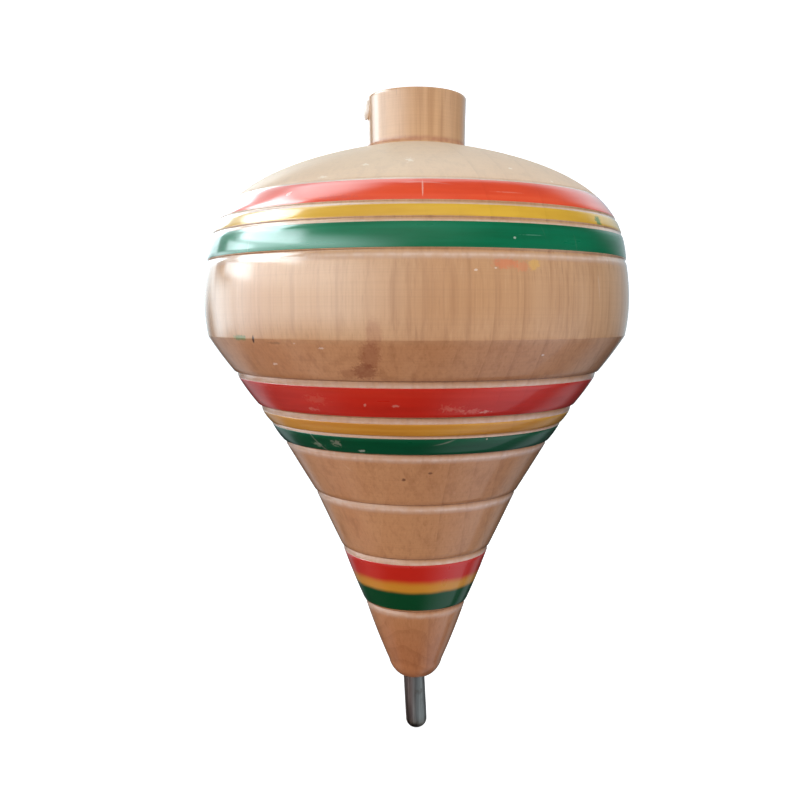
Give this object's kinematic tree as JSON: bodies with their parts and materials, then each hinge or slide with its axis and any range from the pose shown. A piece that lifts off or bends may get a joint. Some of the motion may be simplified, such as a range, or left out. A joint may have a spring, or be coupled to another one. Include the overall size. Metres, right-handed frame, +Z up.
{
  "type": "wooden spinning top",
  "caption": "Lathe-turned wooden throwing top with a knob head, domed shoulder, grooved cone, painted rings and a round-ended steel tip.",
  "frame": {"origin": "on the spin axis, at the level of the steel tip's end", "axes": "+Z up along the spin axis, from the tip to the head; +X the way in which the slightly crooked tip leans"},
  "size_m": [0.08, 0.08, 0.124],
  "materials": {
    "lacquered_wood": "pale fruitwood, lathe-turned, under clear gloss lacquer",
    "tip_steel": "plain drawn steel wire, dulled, ground round at its end",
    "red_ring_paint": "red ring paint on the wood, under clear gloss lacquer",
    "yellow_ring_paint": "yellow ring paint on the wood, under clear gloss lacquer",
    "green_ring_paint": "green ring paint on the wood, under clear gloss lacquer"
  },
  "bodies": {
    "root": {"turned_body": "lacquered_wood", "steel_tip": "tip_steel"}
  },
  "joints": []
}
